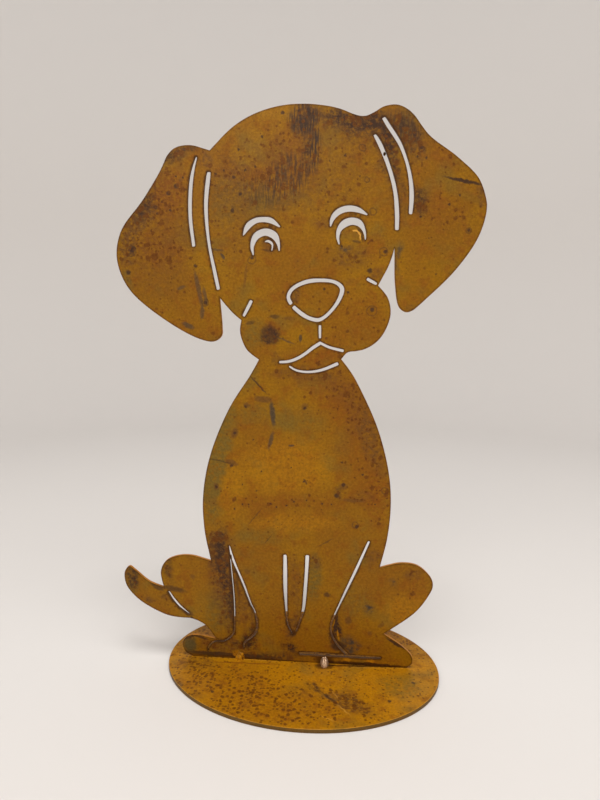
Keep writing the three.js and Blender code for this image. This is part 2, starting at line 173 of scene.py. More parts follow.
# Marks on the figure's front, as the photograph shows them: across, up, half its length, half its width,
# its turn in degrees, and how strong it is
FIGURE_MARKS = {
    "gold": [
        (-12, 133, 28, 17, 2, 0.4), (-7, 97, 26, 6, 2, 0.35), (-46, 117, 8, 16, 2, 0.3),
        (68, 42, 16, 12, 30, 0.4),
    ],
    "olive": [
        (-21, 295, 15, 6, 7, 0.6), (-49, 296, 11, 15, 0, 0.5), (41, 277, 7, 6, 0, 0.5),
        (-112, 248, 6, 5, -39, 0.8), (-33, 216, 7, 9, 0, 0.65), (-5, 163, 17, 7, 1, 0.5),
        (-32, 167, 12, 6, 21, 0.5), (24, 151, 6, 8, 0, 0.4), (-54, 138, 5.4, 35, -12, 1),
        (-34, 188, 5, 9, -24, 0.5), (-59, 111, 5, 15, 2, 0.8), (-26, 86, 13, 5, 2, 0.45),
        (-55, 31, 9, 12, 3, 0.65), (-114, 52, 5, 7, 0, 0.6), (-74, 11, 5.4, 5.6, 0, 1),
        (7, 61, 4.5, 15.5, -1, 0.9), (35, 45, 10, 9, 34, 0.45),
    ],
    "rust": [
        (-12, 317, 14, 19, -15, 0.6), (-37, 312, 20, 4, 0, 0.5), (81, 319, 11, 6.5, -29, 0.5),
        (78, 291, 15, 8, -10, 0.35), (40, 269, 7, 7.5, 0, 0.5), (-85, 299, 11, 16, -24, 0.9),
        (-90, 267, 16, 11, 0, 0.6), (-56, 217, 4, 5, 0, 0.5), (-19, 219, 6, 4, 0, 0.6),
        (28, 224, 19, 16, 0, 0.35), (12, 203, 12, 5, 9, 0.7), (21, 178, 22, 14, -37, 0.55),
        (37, 142, 15, 28, 10, 0.45), (46, 111, 8, 17, 2, 0.6), (-21, 110, 41, 4.6, 2, 0.5),
        (74, 59, 7.5, 11, 3, 0.5),
    ],
    "umber": [
        (-8, 312, 48, 28, 0, 0.38), (-92, 278, 24, 42, 0, 0.4), (-46, 288, 14, 34, 0, 0.3),
        (82, 296, 18, 36, 20, 0.15),
        (-2, 340, 7, 10.5, 0, 0.85), (26, 339, 22, 6.6, -10, 0.75), (48, 314, 4.6, 27, 15, 0.75),
        (53, 337, 13, 8, -29, 0.6), (62, 325, 5, 10, 24, 0.55), (101, 298, 2.8, 6.3, 15, 0.7),
        (64, 294, 4.6, 7.4, 0, 0.6), (64, 233, 4.7, 2.4, 0, 0.6), (26, 263, 13, 7.6, 0, 0.55),
        (13, 282, 9.5, 3.5, 0, 0.45), (-27, 280, 11.5, 2.3, 10, 0.5), (-21, 270, 4.2, 3.5, 0, 0.7),
        (-72, 325, 11.5, 2.9, 13, 0.75), (-61, 319, 3.6, 4.6, 0, 0.65), (-104, 285, 11, 8, 48, 0.7),
        (-111, 267, 5, 11, 0, 0.5), (-7, 240, 3.6, 7.2, -24, 0.8), (42, 252, 4.2, 4.7, 0, 0.5),
        (-1, 192, 18, 3.7, 0, 0.6), (-18, 202, 3, 2.5, 0, 0.5), (23, 182, 17, 7.4, -37, 0.35),
        (42, 150, 5.5, 20, 16, 0.65), (32, 164, 7.4, 10, 0, 0.35), (38, 115, 7.5, 4, 0, 0.35),
        (-54, 80, 7.2, 12.8, 2, 0.75), (-52, 53, 7.4, 31, 12, 0.75), (-56, 46, 6.7, 2.1, 3, 0.6),
        (-36, 35, 5.4, 15, 15, 0.6), (-101, 40, 4, 2.9, -40, 0.7), (-91, 43, 4.7, 2.8, 3, 0.6),
        (-51, 11, 16, 5, 3, 0.7), (-6, 28, 3.3, 9.7, -12, 0.75), (-4, 57, 4.5, 17.6, 3, 0.4),
        (8, 71, 4.5, 4.7, 0, 0.6), (70, 66, 3.8, 3.3, 0, 0.55), (44, 77, 5.7, 6.6, 0, 0.6),
        (42, 15, 11.6, 2.8, -13, 0.15),
    ],
    "heat": [
        (-21, 8, 20, 4.5, -1, 1.4), (16, 9, 12.4, 6, 3, 1.6), (49, 4, 23, 2.4, -1, 0.9),
        (-41, 12, 8, 4, -20, 1.2), (-62, 7, 8, 3, 0, 0.9), (-38, 22, 4, 9, 10, 0.7),
        (-84, 37, 6, 1.6, -50, 0.8), (-76, 31, 5, 1.6, -43, 0.8),
    ],
    "brushed": [
        (-2, 342, 8.5, 9, 0, 0.95), (4, 326, 4.5, 12, -8, 0.8), (-10, 310, 12, 14, -35, 0.6),
        (-28, 300, 12, 9, -35, 0.45), (55, 335, 12, 9, -25, 0.6),
    ],
    "dark": [
        (-1, 344, 4.7, 6.6, 0, 0.35), (0, 324, 2.7, 9.5, -18, 0.6), (59, 344, 3.4, 1.6, -39, 0.4),
        (-108, 266, 2.5, 3, 0, 0.6), (-23, 215, 5.2, 5.8, -19, 0.75), (-8, 244, 2.4, 2.4, 0, 0.5),
        (22, 118, 2.5, 2.6, 0, 0.55), (-54, 83, 4.6, 8.7, 2, 0.6), (-50, 57, 3.7, 23, 12, 0.8),
        (-47, 31, 2, 15, 3, 0.4), (-33, 17, 4.7, 8.4, 3, 0.65), (-88, 63, 3.4, 8.9, 3, 0.55),
        (-113, 56, 4.5, 7.5, 18, 0.75), (-74, 11, 3.7, 4.3, 0, 0.55), (-6, 11, 3, 3.5, 0, 0.9),
        (22, 25, 3, 10.4, -5, 0.75), (24, 26, 1.9, 3.4, 0, 0.6), (30, 341, 22, 5, -9, 0.75),
        (50, 320, 19, 3.4, -72, 0.65), (66, 294, 5, 8, 10, 0.6), (74, 336, 3, 5, 30, 0.6),
        (-98, 296, 5, 13, -28, 0.6), (-80, 322, 10, 3, 20, 0.6), (40, 333, 30, 9, -10, 0.35),
        (-22, 5, 21, 2.6, -1, 0.6), (-9, 12, 6, 4, 0, 0.55), (-38, 14, 6, 3, 10, 0.5),
    ],
    "slate": [
        (55, 261, 1.8, 10, 0, 0.55), (23, 269, 5.3, 1.7, 0, 0.6), (30, 16, 6.5, 5.6, -18, 0.7),
        (44, 42, 3.6, 3.4, 0, 0.7), (57, 61, 2.9, 2, 0, 0.5),
    ],
}

# Scratches, blots and thin lines on the figure's front, which keep a crisp edge. Some are painted light and
# shade: the long thin gold lines are painted highlights of lit cut edges, the glint lines a painted
# highlight in the right eye, and the long lines along the foot partly painted contact shadow.
FIGURE_LINES = {
    "slate": [
        (-66, 243, 1.4, 10, 12, 0.6), (-62, 239, 1, 4.8, 10, 0.6), (-64, 229, 1.3, 3.7, -4, 0.6),
        (-73, 221, 3.7, 1.4, -24, 0.7), (-77, 244, 2.5, 1, 20, 0.6), (-51, 263, 2, 0.9, -49, 0.8),
        (-55, 267, 4.3, 0.6, -10, 0.5), (-13, 213, 6.1, 0.5, -24, 0.6), (-3, 214, 1, 2.2, 0, 0.8),
        (-20, 167, 1.5, 6.9, 7, 0.85), (-21, 150, 1.3, 5.1, -14, 0.7), (-8, 147, 1.6, 0.7, 0, 0.8),
    ],
    "umber": [
        (-10, 226, 3.1, 1.3, 0, 0.6), (-37, 251, 0.9, 7.2, -7, 0.5), (25, 122, 2.5, 1.9, 0, 0.6),
        (31, 113, 6.3, 1, -1, 0.7), (-26, 176, 5, 1.9, -4, 0.85), (-36, 172, 1.9, 1.4, 0, 0.8),
        (0, 172, 1.9, 1.9, 0, 0.6), (-44, 154, 2, 3.2, -19, 0.8), (-46, 135, 3.8, 1.6, -19, 0.8),
        (-56, 119, 1.7, 2, 0, 0.8), (-72, 58, 1.5, 1.5, 0, 0.6), (-36, 63, 1.7, 1.9, 0, 0.6),
        (30, 33, 1.9, 2.3, 0, 0.8), (51, 31, 2.2, 1.3, 34, 0.6), (44, 25, 1.3, 1.4, 0, 0.6),
    ],
    "dark": [
        (91, 306, 10.5, 0.9, -12, 0.95), (-19, 227, 3.1, 1.1, 0, 0.6), (-34, 223, 2.5, 1, 15, 0.6),
        (-29, 185, 6.8, 0.5, -46, 0.8), (-54, 136, 7.7, 0.5, -10, 0.5), (1, 124, 0.7, 1.9, 32, 0.7),
        (-31, 100, 6.7, 0.4, 52, 0.5), (-22, 86, 4, 0.4, 52, 0.5), (15, 85, 5.2, 0.4, 31, 0.5),
        (-85, 49, 7.3, 1.7, -10, 0.65), (-96, 50, 4.6, 1.7, -29, 0.7), (-75, 33, 3.3, 1.7, -29, 0.6),
        # the first line here, along the left foot, is painted contact shadow
        (-49, 5, 29.5, 1.3, -1, 0.85), (2, 9, 5.9, 1, -5, 0.7), (-6, 22, 2, 2.1, 0, 0.8),
        (16, 50, 1.9, 1.5, 0, 0.7), (60.8, 19, 6.5, 0.9, -29, 0.9), (45, 321.9, 1.1, 0.7, -88, 1),
        (31.6, 278.1, 1.9, 0.6, -42, 0.7), (33.2, 274.5, 2.3, 0.6, 90, 0.7),
        (29.8, 271.7, 2.4, 0.7, -19, 0.6), (-20.8, 273.5, 2.9, 0.8, -27, 0.5),
        (-18.2, 270.4, 1.8, 0.7, 81, 0.6), (-24, 266.4, 3.1, 0.8, -8, 0.5),
        (-72.7, 29.2, 1.4, 0.6, -49, 0.9), (21.9, 30, 7.4, 0.8, 81, 0.9), (24, 15, 4.5, 3, -1, 0.9),
        (-75, 15.6, 4.5, 0.8, 30, 0.8), (-66.8, 16, 4.9, 0.8, -19, 0.8), (-46.4, 56, 14, 1.1, -84, 0.7),
        (-42.6, 56, 12, 0.8, -84, 0.5), (-21.5, 216, 6, 4.4, -40, 0.6),
    ],
    "gold": [
        # the long thin lines here are painted highlights of lit cut edges, beside slots and on the hind paws
        (-75.9, 17.6, 4.9, 0.7, 30, 0.9), (-67.1, 18.3, 5.2, 0.7, -18, 0.9), (30, 6, 2.3, 1.4, 0, 0.85),
        (45, 6, 2.3, 1.2, 0, 0.8), (62, 20.6, 7.7, 0.8, -30, 0.9), (-43, 6, 2.4, 2.5, 0, 0.6),
        (20.2, 29.6, 7.7, 0.6, 81, 0.9), (23.6, 22.9, 3.5, 0.6, -80, 0.8),
    ],
    "oxide_and_shade": [
        # the long lines along the foot are partly oxidised, partly painted contact shadow
        (44, 3.2, 25, 1.4, -1, 0.95), (14, 8.6, 15, 0.9, 1, 0.8), (40, 8.6, 12, 0.5, 0, 0.7),
        (15, 5.4, 5.2, 4.2, 0, 0.8),
        (-38.5, 3.4, 38, 0.7, -1, 0.7),
    ],
    "murk": [(-74.6, 10.4, 3.7, 3.9, 0, 0.9)],
    "glint": [
        # a painted highlight: the lit wall inside the crescent cut of the right eye
        (28.6, 277.9, 1.4, 0.5, -6, 0.8), (30.9, 276.7, 1.5, 0.5, -47, 0.85),
        (31.9, 274.3, 1.5, 0.5, 89, 0.8),
    ],
}

# Small round spots and ring marks on the figure's front: across, up, radius
FIGURE_SPOTS = [
    (-15, 345, 1.1), (-27, 332, 0.8), (62, 332, 1.2), (66, 325, 1.2), (-41, 325, 0.9), (22, 321, 0.8),
    (64, 320, 0.7), (69, 319, 0.8), (13, 318, 0.5), (-31, 315, 0.9), (-50, 313, 0.8), (-37, 313, 0.9),
    (-55, 311, 0.8), (-79, 310, 0.8), (-44, 309, 1.1), (-75, 309, 0.7), (31, 309, 0.5), (-22, 307, 0.7),
    (-79, 304, 1.6), (-84, 300, 1.5), (-40, 299, 1.2), (89, 298, 0.8), (-88, 295, 0.9), (83, 293, 0.8),
    (-92, 292, 1.4), (-45, 290, 1.4), (-83, 290, 0.9), (-101, 289, 1.4), (-91, 288, 0.9), (67, 286, 0.8),
    (95, 278, 1.1), (-95, 278, 0.7), (72, 274, 0.5), (21, 269, 0.9), (-107, 267, 2.0), (47, 266, 1.2),
    (-33, 262, 1.2), (-68, 257, 1.2), (38, 255, 1.6), (77, 253, 0.5), (-110, 253, 1.6), (11, 244, 0.8),
    (25, 242, 0.8), (-62, 235, 1.4), (40, 232, 1.4), (0, 171, 1.0), (-37, 171, 0.9), (-44, 154, 1.1),
    (-32, 150, 0.6), (24, 137, 0.7), (-46, 133, 1.1), (-8, 133, 0.6), (-27, 130, 0.6), (37, 130, 0.9),
    (0, 124, 0.7), (25, 123, 1.3), (-39, 121, 0.6), (-56, 119, 1.0), (-30, 117, 0.6), (21, 116, 1.7),
    (2, 112, 0.6), (-6, 111, 0.7), (45, 111, 0.6), (12, 110, 0.7), (18, 110, 0.7), (-21, 109, 0.7),
    (-11, 108, 0.7), (-39, 108, 0.7), (-35, 108, 0.7), (-17, 107, 0.7), (-44, 105, 0.7), (34, 96, 1.3),
]
FIGURE_RINGS = [
    (-108, 266, 3), (-33, 261, 2.4), (66, 324, 1.6), (63, 332, 1.9), (39, 289, 2), (32, 325, 1.9),
    (35, 307, 1.4), (46, 266, 2.4), (95, 278, 1.6), (40, 231, 3), (33, 97, 2), (51, 120, 2),
    (-62, 235, 2),
]

# Marks on top of the base: across, towards the back, and the rest as above. Some are painted shade: the wide
# bands just behind the figure darken it where the figure's shadow falls, and the long lines along the front
# of the foot are partly painted contact shadow.
BASE_MARKS = {
    "gold": [(51, -17, 23, 16, 6, 0.6), (30, -62, 12, 2.2, 9, 0.5), (-10, -22, 26, 7, 0, 0.5)],
    "olive": [(64, -22, 15, 12, 6, 0.5), (2, -33, 12, 8, 0, 0.3)],
    # the bands at 40 and 30 mm back, behind the figure, are painted shade where its shadow falls
    "rust": [(-3, -48, 38, 15, 6, 0.4), (-45, -28, 28, 18, 0, 0.4), (0, 40, 70, 24, 0, 0.8)],
    "umber": [(34, -43, 15, 7, -38, 0.75), (-71, -10, 13, 7, 6, 0.5), (0, 30, 70, 22, 0, 0.5)],
    "heat": [
        # the two long lines in front of the foot are partly weld tint, partly painted contact shadow
        (-38, -4, 30, 2.4, 0, 0.8), (15, -6, 8, 4.5, 0, 1.2), (44, -4, 26, 2, 4, 1),
        # this band just behind the figure is painted shade, partly weld tint round the back tacks
        (-3, 7, 62, 6, 0, 1.2),
    ],
    "dark": [(11, -29, 5, 3.5, -39, 0.5)],
    "slate": [(20, -40, 8, 1.6, -48, 0.8), (-72, -34, 2.1, 3.1, 6, 0.7)],
}
BASE_LINES = {
    # the two long lines along the foot are partly oxidised, partly painted contact shadow; the short one
    # rings the weld drop
    "oxide_and_shade": [(-39, 0.2, 38, 0.9, -1, 0.9), (44, -2.6, 26, 0.9, 4, 0.9), (15, -5, 5.6, 3.4, 0, 0.8)],
    "rust": [(-36.6, -7, 20, 0.7, 2, 0.9)],
    "glint": [
        # painted highlights: along the front of the foot and on the long scratch
        (-46, -2.2, 30, 0.4, -2, 0.3), (47, -4.4, 22, 0.3, 4, 0.25), (27, -47, 7, 0.5, -52, 0.35),
        (23, -35, 6, 0.4, -60, 0.3), (19, -57, 4, 0.6, -30, 0.3),
    ],
    "dark": [(20, -39, 7, 0.8, -48, 0.8), (10.5, -27, 3, 0.8, -70, 0.6), (12, -32, 2.4, 1, -20, 0.6)],
}
BASE_SPOTS = [(0, 0, 1.8), (-51, -39, 1.3), (55, -38, 1.3), (71, -18, 1.3)]


def linear(colour):
    """A screen colour of three numbers up to 255 as the linear values that a shader takes."""
    shares = [value / 255 for value in colour]
    return [c / 12.92 if c <= 0.04045 else ((c + 0.055) / 1.055) ** 2.4 for c in shares]


# Meshes

def face_loops(node, normal):
    """The closed edges round the flat face of a CAD node that looks along normal, in mm.

    The material lies to the left of each loop as seen from in front of the face."""
    mesh = bmesh.new()
    mesh.from_mesh(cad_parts[node].data)
    bmesh.ops.remove_doubles(mesh, verts=mesh.verts, dist=SAME_PLACE)
    mesh.normal_update()
    faces = [face for face in mesh.faces if face.normal.dot(Vector(normal)) > FACING]
    looked_at = set(faces)
    following = {}
    for face in faces:
        for corner in face.loops:
            if not any(other in looked_at for other in corner.edge.link_faces if other is not face):
                following[corner.vert] = corner.link_loop_next.vert
    loops = []
    while following:
        start, vert = following.popitem()
        ring = [start]
        while vert is not start:
            ring.append(vert)
            vert = following.pop(vert)
        loops.append([vert.co / MM for vert in ring])
    mesh.free()
    return loops


def unit(vectors):
    return vectors / np.maximum(np.linalg.norm(vectors, axis=-1, keepdims=True), SAME_PLACE)


def smooth_loop(points):
    """A closed loop of flat points, made denser by a smooth curve that keeps its sharp corners."""
    chords = np.roll(points, -1, 0) - points
    lengths = np.linalg.norm(chords, axis=1)
    ways = chords / lengths[:, None]
    turns = np.arccos(np.clip((ways * np.roll(ways, 1, 0)).sum(1), -1, 1))
    made = []
    for i, start in enumerate(points):
        n = (i + 1) % len(points)
        length = lengths[i]
        leave = arrive = ways[i]
        if turns[i] < SHARP_CORNER:
            leave = unit(ways[i - 1] * length + ways[i] * lengths[i - 1])
        if turns[n] < SHARP_CORNER:
            arrive = unit(ways[i] * lengths[n] + ways[n] * length)
        steps = max(1, math.ceil(length / RIM_STEP))
        for t in np.arange(steps) / steps:
            made.append(
                (2 * t**3 - 3 * t**2 + 1) * start
                + (t**3 - 2 * t**2 + t) * length * leave
                + (3 * t**2 - 2 * t**3) * points[n]
                + (t**3 - t**2) * length * arrive
            )
    return np.clip(made, points.min(0), points.max(0))


def moved_in(loop, distance):
    """The loop moved into the material, which lies to its left."""
    ways = unit(np.roll(loop, -1, 0) - loop)
    normals = np.stack([-ways[:, 1], ways[:, 0]], 1)
    before = np.roll(normals, 1, 0)
    mitre = (before + normals) / np.maximum(1 + (before * normals).sum(1), LEAST_MITRE)[:, None]
    return loop + mitre * distance


def edges_of(loops):
    """The two ends of every edge of the loops."""
    return np.concatenate(loops), np.concatenate([np.roll(loop, -1, 0) for loop in loops])


def crossings(starts, ends, v):
    """Where the edges cross the level v."""
    cut = (starts[:, 1] <= v) != (ends[:, 1] <= v)
    a, b = starts[cut], ends[cut]
    return a[:, 0] + (v - a[:, 1]) * (b[:, 0] - a[:, 0]) / (b[:, 1] - a[:, 1])


def points_inside(loops):
    """An even grid of points inside the outer loop and outside the holes, clear of all of them."""
    starts, ends = edges_of(loops)
    near = kdtree.KDTree(len(starts))
    for i, point in enumerate(starts):
        near.insert((*point, 0), i)
    near.balance()
    low, high = starts.min(0), starts.max(0)
    row_height = GRID * math.sqrt(3) / 2
    made = []
    for row in range(1, int((high[1] - low[1]) / row_height) + 1):
        v = low[1] + row * row_height
        across = np.arange(low[0] + (row % 2) * GRID / 2, high[0], GRID)
        inside = np.searchsorted(np.sort(crossings(starts, ends, v)), across) % 2 == 1
        made += [(u, v) for u in across[inside] if near.find((u, v, 0))[2] > CLEAR_OF_RIM * GRID]
    return np.array(made)


def without_holes(triangles, flat, loops):
    """The triangles whose middle lies in the material."""
    starts, ends = edges_of(loops)
    corners = np.array([[flat[i] for i in triangle] for triangle in triangles])
    kept = []
    for triangle, (u, v) in zip(triangles, corners.mean(1)):
        if (crossings(starts, ends, v) < u).sum() % 2 == 1:
            kept.append(triangle)
    return kept


def sheet_mesh(loops, low, high, radius, place):
    """A sheet between two levels with rounded cut edges and an even mesh.

    place(u, v, w) turns a point of the drawing at the level w into a point of the object in mm.
    The point attribute "rim" is 1 on the cut edges and 0 on the flat faces. "outline" and "hole" are 1 on
    those edges and just inside them, for the outer loop and for the holes."""
    profile = [(FLAT_RING * radius, 0), (radius, 0), (HALF_ROUND * radius, HALF_ROUND * radius), (0, radius)]
    rows = [(inset, high - down) for inset, down in profile]
    rows += [(inset, low + down) for inset, down in reversed(profile)]
    dense = [smooth_loop(np.array(loop)) for loop in loops]
    inner = [moved_in(loop, rows[0][0]) for loop in dense]
    flat = np.concatenate([*inner, points_inside(inner)])
    edges = []
    first = 0
    for loop in inner:
        count = len(loop)
        edges += [(first + i, first + (i + 1) % count) for i in range(count)]
        first += count
    found = delaunay_2d_cdt([Vector(p) for p in flat], edges, [], ONLY_INSIDE, SAME_CORNER)
    flat, origins = found[0], found[3]
    triangles = without_holes(found[2], flat, inner)
    mesh = bmesh.new()
    rim, outline, hole = (mesh.verts.layers.float.new(key) for key in ("rim", "outline", "hole"))
    front = [mesh.verts.new(place(u, v, high) * MM) for u, v in flat]
    back = [mesh.verts.new(place(u, v, low) * MM) for u, v in flat]
    for triangle in triangles:
        mesh.faces.new([front[i] for i in triangle])
        mesh.faces.new([back[i] for i in reversed(triangle)])
    made_from = {o: i for i, sources in enumerate(origins) for o in sources}
    outer = max(range(len(dense)), key=lambda i: np.ptp(dense[i], 0).sum())
    first = 0
    for number, loop in enumerate(dense):
        count = len(loop)
        rings = [[front[made_from[first + i]] for i in range(count)]]
        for inset, level in rows[1:-1]:
            ring = [mesh.verts.new(place(u, v, level) * MM) for u, v in moved_in(loop, inset)]
            for vert in ring:
                vert[rim] = 1 - min(1, inset / radius)
            rings.append(ring)
        rings.append([back[made_from[first + i]] for i in range(count)])
        for vert in itertools.chain(*rings):
            vert[outline if number == outer else hole] = 1
        for above, below in zip(rings, rings[1:]):
            for i in range(count):
                n = (i + 1) % count
                mesh.faces.new([above[i], below[i], below[n], above[n]])
        first += count
    return mesh


def add_slag(mesh):
    """A burnt speck in a slot, as dark as the slot's walls."""
    place = Matrix.LocRotScale(Vector(SLAG_PLACE) * MM, None, Vector(SLAG_SIZE) * MM)
    made = bmesh.ops.create_icosphere(mesh, subdivisions=2, radius=1, matrix=place)
    for vert in made["verts"]:
        vert[mesh.verts.layers.float["hole"]] = 1


def finished(name, mesh):
    """A shown object made of a bmesh, with smooth shading broken at its sharp edges."""
    mesh.normal_update()
    for face in mesh.faces:
        face.smooth = True
    for edge in mesh.edges:
        edge.smooth = edge.calc_face_angle(0) < SHARP_EDGE
    data = bpy.data.meshes.new(name)
    mesh.to_mesh(data)
    mesh.free()
    made = bpy.data.objects.new(name, data)
    SCENE.collection.objects.link(made)
    return made


def in_mm(node):
    """The lowest and the highest corner of a CAD node, in mm."""
    low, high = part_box(node)
    return low / MM, high / MM


def figure_sheet():
    low, high = in_mm("dog_figure")
    loops = [[(p.x, p.z) for p in loop] for loop in face_loops("dog_figure", (0, -1, 0))]

    def place(u, v, w):
        wave = noise.noise(Vector((u, v, 0)) / WAVE_LENGTH) * WAVE_HEIGHT
        return Vector((u, wave - w, v))

    mesh = sheet_mesh(loops, -high.y, -low.y, FIGURE_EDGE, place)
    add_slag(mesh)
    return finished("puppy_sheet", mesh)


def base_sheet():
    low, high = in_mm("base_plate")
    loops = [[(p.x, p.y) for p in loop] for loop in face_loops("base_plate", (0, 0, 1))]

    def place(u, v, w):
        return Vector((u, v, w))

    return finished("oval_sheet", sheet_mesh(loops, low.z, high.z, BASE_EDGE, place))


def bead(node, lumps, ripples):
    """A weld bead in the corner between figure and base: a quarter of a lumpy, rippled ball.

    lumps and ripples are their heights, as shares of the bead."""
    low, high = in_mm(node)
    figure_low, figure_high = in_mm("dog_figure")
    behind = high.y > figure_high.y + BEAD_SUNK
    away = 1 if behind else -1
    wall = figure_high.y if behind else figure_low.y
    width, depth, height = high - low
    middle = (low.x + high.x) / 2
    mesh = bmesh.new()
    rows = []
    for i in range(BEAD_UP + 1):
        rise = math.pi / 2 * i / BEAD_UP
        row = []
        for j in range(BEAD_AROUND + 1):
            way = math.pi * j / BEAD_AROUND
            out = Vector((math.cos(way) * math.cos(rise), math.sin(way) * math.cos(rise), math.sin(rise)))
            swell = 1 - lumps / 2 + lumps * noise.noise(out * BEAD_LUMPS + low)
            swell += ripples * math.sin(way * BEAD_RIPPLES + 3 * noise.noise(out * 2 + low))
            x = middle + out.x * width / 2 * swell
            y = wall + away * (out.y * depth * swell - BEAD_SUNK * (1 - out.y))
            z = low.z + out.z * height * swell - BEAD_SUNK * (1 - out.z)
            row.append(mesh.verts.new(Vector((x, y, z)) * MM))
        rows.append(row)
    for below, above in zip(rows, rows[1:]):
        for j in range(BEAD_AROUND):
            mesh.faces.new([below[j], below[j + 1], above[j + 1], above[j]])
    mesh.faces.new(rows[0])
    mesh.faces.new([row[0] for row in rows] + [row[-1] for row in reversed(rows)])
    bmesh.ops.remove_doubles(mesh, verts=mesh.verts, dist=SAME_PLACE)
    bmesh.ops.recalc_face_normals(mesh, faces=mesh.faces)
    return finished(node + "_bead", mesh)


def lay_marks(sheet, axes, marks):
    """Soft, ragged marks on a sheet's shown face, as one point attribute for each kind."""
    data = sheet.data
    places = np.empty(len(data.vertices) * 3)
    data.vertices.foreach_get("co", places)
    places = places.reshape(-1, 3) / MM
    through = places[:, axes[2]] * shown_side(axes)
    shown = through > (through.min() + through.max()) / 2
    flat = places[:, axes[:2]]
    noise.seed_set(RAGGED_SEED)
    for size, reach in RAGGED:
        flat = flat + [reach * np.array(noise.noise_vector(Vector((*p, size)) / size)[:2]) for p in flat]
    for kind, kept in marks.items():
        total = np.zeros(len(flat))
        for x, y, length, width, turn, amount in kept:
            cos, sin = math.cos(math.radians(turn)), math.sin(math.radians(turn))
            u = (flat - (x, y)) @ (cos, sin) / length
            v = (flat - (x, y)) @ (-sin, cos) / width
            away = np.clip((np.hypot(u, v) - FADE_FROM) / (FADE_TO - FADE_FROM), 0, 1)
            total += amount * (1 - away * away * (3 - 2 * away))
        data.attributes.new(kind, "FLOAT", "POINT").data.foreach_set("value", total * shown)


def shown_side(axes):
    """The figure is seen from in front, at its least y, and the base from above, at its most z."""
    return -1 if axes[2] == 1 else 1


# Materials

